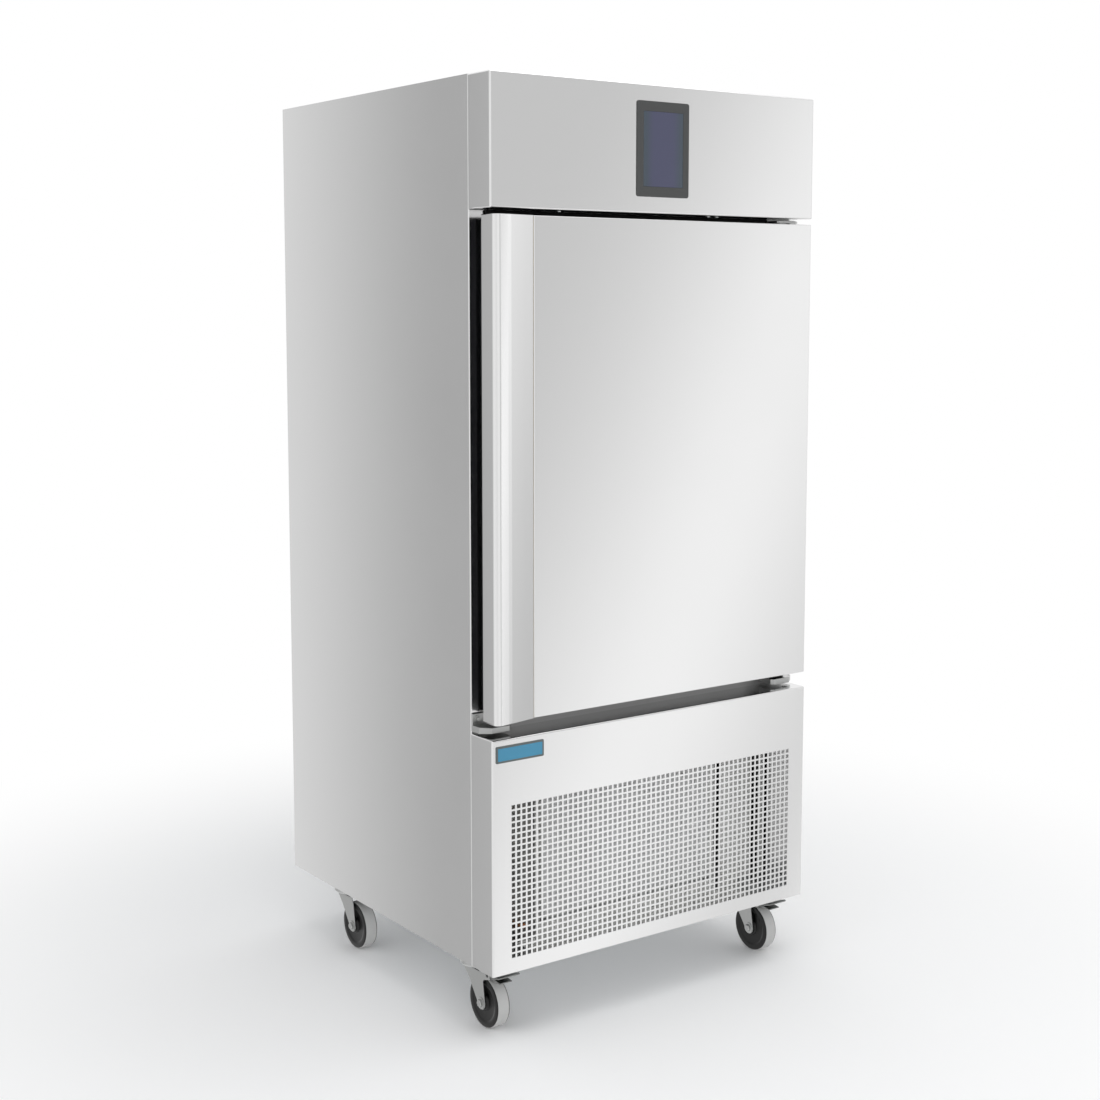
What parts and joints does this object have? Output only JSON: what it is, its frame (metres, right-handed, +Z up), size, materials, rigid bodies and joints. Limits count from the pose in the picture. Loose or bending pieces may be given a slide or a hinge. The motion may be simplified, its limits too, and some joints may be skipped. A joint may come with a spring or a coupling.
{
  "type": "blast chiller",
  "caption": "Upright self-contained blast chiller in brushed steel, with a hinged solid door and full-height handle, touch display, perforated lower grille and swivel casters.",
  "frame": {"origin": "on the floor, under the middle of the overall bounding box", "axes": "+Z up from the floor, +X to the right seen from the front, the door and display face -Y"},
  "size_m": [0.79, 0.815, 1.8],
  "materials": {
    "left_side_panel": "brushed stainless steel",
    "right_side_panel": "brushed stainless steel",
    "top_panel": "brushed stainless steel",
    "rear_panel": "plain galvanised sheet",
    "rear_louvre_panel": "pressed louvres, galvanised",
    "face_rails": "brushed stainless steel",
    "insulation": "foamed polyurethane",
    "chamber_liner": "satin stainless steel, coved corners",
    "breaker_frame": "black plastic extrusion",
    "head_fascia": "brushed stainless steel",
    "display_bezel": "satin black plastic",
    "display_screen": "dark touch glass, unlit",
    "control_box": "grey painted sheet",
    "lower_panel": "perforated brushed stainless steel",
    "badge_plate": "plain blue plate with a grey border, no lettering",
    "base_frame": "galvanised sheet",
    "compressor": "gloss black enamel",
    "condenser_coil": "aluminium fins on tube",
    "condenser_shroud": "light grey sheet",
    "condenser_motor": "black enamel",
    "liquid_receiver": "black enamel",
    "filter_drier": "spun copper",
    "refrigerant_pipes": "copper tube",
    "evaporator_coil": "aluminium fins on tube",
    "fan_cover": "satin stainless steel",
    "fan_guards": "bright wire",
    "evaporator_motors": "dark enamel",
    "tray_racks": "bright stainless steel",
    "hinge_brackets": "zinc-plated steel",
    "spare_hinge_bracket": "zinc-plated steel",
    "hinge_pins": "bright steel",
    "door_closer": "dark ribbed sleeve",
    "cable_gland": "black nylon",
    "caster_plates": "black coated plate",
    "caster_bolts": "zinc-plated",
    "door_skin": "brushed stainless steel",
    "door_handle": "folded stainless steel profile",
    "door_core": "foamed polyurethane",
    "door_frame": "black plastic extrusion",
    "door_liner": "satin stainless steel",
    "door_gasket": "soft black magnetic gasket",
    "door_bushes": "grey nylon",
    "condenser_fan": "pressed blades on a hub",
    "evaporator_fan_upper": "moulded black",
    "evaporator_fan_lower": "moulded black",
    "caster_fork_fl": "zinc-plated pressed steel",
    "wheel_core_fl": "black nylon",
    "wheel_tread_fl": "grey non-marking rubber",
    "caster_fork_fr": "zinc-plated pressed steel",
    "wheel_core_fr": "black nylon",
    "wheel_tread_fr": "grey non-marking rubber",
    "caster_fork_rl": "zinc-plated pressed steel",
    "wheel_core_rl": "black nylon",
    "wheel_tread_rl": "grey non-marking rubber",
    "caster_fork_rr": "zinc-plated pressed steel",
    "wheel_core_rr": "black nylon",
    "wheel_tread_rr": "grey non-marking rubber",
    "brake_pedal_fl": "grey pressed steel",
    "brake_pedal_fr": "grey pressed steel"
  },
  "bodies": {
    "cabinet": {"left_side_panel": "left_side_panel", "right_side_panel": "right_side_panel", "top_panel": "top_panel", "rear_panel": "rear_panel", "rear_louvre_panel": "rear_louvre_panel", "face_rails": "face_rails", "insulation": "insulation", "chamber_liner": "chamber_liner", "breaker_frame": "breaker_frame", "head_fascia": "head_fascia", "display_bezel": "display_bezel", "display_screen": "display_screen", "control_box": "control_box", "lower_panel": "lower_panel", "badge_plate": "badge_plate", "base_frame": "base_frame", "compressor": "compressor", "condenser_coil": "condenser_coil", "condenser_shroud": "condenser_shroud", "condenser_motor": "condenser_motor", "liquid_receiver": "liquid_receiver", "filter_drier": "filter_drier", "refrigerant_pipes": "refrigerant_pipes", "evaporator_coil": "evaporator_coil", "fan_cover": "fan_cover", "fan_guards": "fan_guards", "evaporator_motors": "evaporator_motors", "tray_racks": "tray_racks", "hinge_brackets": "hinge_brackets", "spare_hinge_bracket": "spare_hinge_bracket", "hinge_pins": "hinge_pins", "door_closer": "door_closer", "cable_gland": "cable_gland", "caster_plates": "caster_plates", "caster_bolts": "caster_bolts"},
    "door": {"door_skin": "door_skin", "door_handle": "door_handle", "door_core": "door_core", "door_frame": "door_frame", "door_liner": "door_liner", "door_gasket": "door_gasket", "door_bushes": "door_bushes"},
    "condenser_fan": {"condenser_fan": "condenser_fan"},
    "evaporator_fan_upper": {"evaporator_fan_upper": "evaporator_fan_upper"},
    "evaporator_fan_lower": {"evaporator_fan_lower": "evaporator_fan_lower"},
    "swivel_fl": {"caster_fork_fl": "caster_fork_fl"},
    "wheel_fl": {"wheel_core_fl": "wheel_core_fl", "wheel_tread_fl": "wheel_tread_fl"},
    "swivel_fr": {"caster_fork_fr": "caster_fork_fr"},
    "wheel_fr": {"wheel_core_fr": "wheel_core_fr", "wheel_tread_fr": "wheel_tread_fr"},
    "swivel_rl": {"caster_fork_rl": "caster_fork_rl"},
    "wheel_rl": {"wheel_core_rl": "wheel_core_rl", "wheel_tread_rl": "wheel_tread_rl"},
    "swivel_rr": {"caster_fork_rr": "caster_fork_rr"},
    "wheel_rr": {"wheel_core_rr": "wheel_core_rr", "wheel_tread_rr": "wheel_tread_rr"},
    "pedal_fl": {"brake_pedal_fl": "brake_pedal_fl"},
    "pedal_fr": {"brake_pedal_fr": "brake_pedal_fr"}
  },
  "joints": [
    {"name": "door_hinge", "type": "hinge", "parent": "cabinet", "child": "door", "pos_m": [0.373, -0.3545, 1.083], "axis": [0, 0, 1], "range_deg": [0, 105]},
    {"name": "condenser_fan_spin", "type": "hinge", "parent": "cabinet", "child": "condenser_fan", "pos_m": [0, -0.2095, 0.297], "axis": [0, 1, 0], "continuous": true},
    {"name": "evaporator_fan_upper_spin", "type": "hinge", "parent": "cabinet", "child": "evaporator_fan_upper", "pos_m": [0, 0.19, 1.28], "axis": [0, 1, 0], "continuous": true},
    {"name": "evaporator_fan_lower_spin", "type": "hinge", "parent": "cabinet", "child": "evaporator_fan_lower", "pos_m": [0, 0.19, 0.88], "axis": [0, 1, 0], "continuous": true},
    {"name": "swivel_fl_turn", "type": "hinge", "parent": "cabinet", "child": "swivel_fl", "pos_m": [-0.345, -0.2675, 0.12], "axis": [0, 0, 1], "continuous": true},
    {"name": "wheel_fl_roll", "type": "hinge", "parent": "swivel_fl", "child": "wheel_fl", "pos_m": [-0.345, -0.3055, 0.05], "axis": [1, 0, 0], "continuous": true},
    {"name": "swivel_fr_turn", "type": "hinge", "parent": "cabinet", "child": "swivel_fr", "pos_m": [0.345, -0.2675, 0.12], "axis": [0, 0, 1], "continuous": true},
    {"name": "wheel_fr_roll", "type": "hinge", "parent": "swivel_fr", "child": "wheel_fr", "pos_m": [0.345, -0.3055, 0.05], "axis": [1, 0, 0], "continuous": true},
    {"name": "swivel_rl_turn", "type": "hinge", "parent": "cabinet", "child": "swivel_rl", "pos_m": [-0.345, 0.2395, 0.12], "axis": [0, 0, 1], "continuous": true},
    {"name": "wheel_rl_roll", "type": "hinge", "parent": "swivel_rl", "child": "wheel_rl", "pos_m": [-0.345, 0.2015, 0.05], "axis": [1, 0, 0], "continuous": true},
    {"name": "swivel_rr_turn", "type": "hinge", "parent": "cabinet", "child": "swivel_rr", "pos_m": [0.345, 0.2395, 0.12], "axis": [0, 0, 1], "continuous": true},
    {"name": "wheel_rr_roll", "type": "hinge", "parent": "swivel_rr", "child": "wheel_rr", "pos_m": [0.345, 0.2015, 0.05], "axis": [1, 0, 0], "continuous": true},
    {"name": "pedal_fl_press", "type": "hinge", "parent": "swivel_fl", "child": "pedal_fl", "pos_m": [-0.345, -0.3275, 0.1107], "axis": [1, 0, 0], "range_deg": [0, 15]},
    {"name": "pedal_fr_press", "type": "hinge", "parent": "swivel_fr", "child": "pedal_fr", "pos_m": [0.345, -0.3275, 0.1107], "axis": [1, 0, 0], "range_deg": [0, 15]}
  ]
}
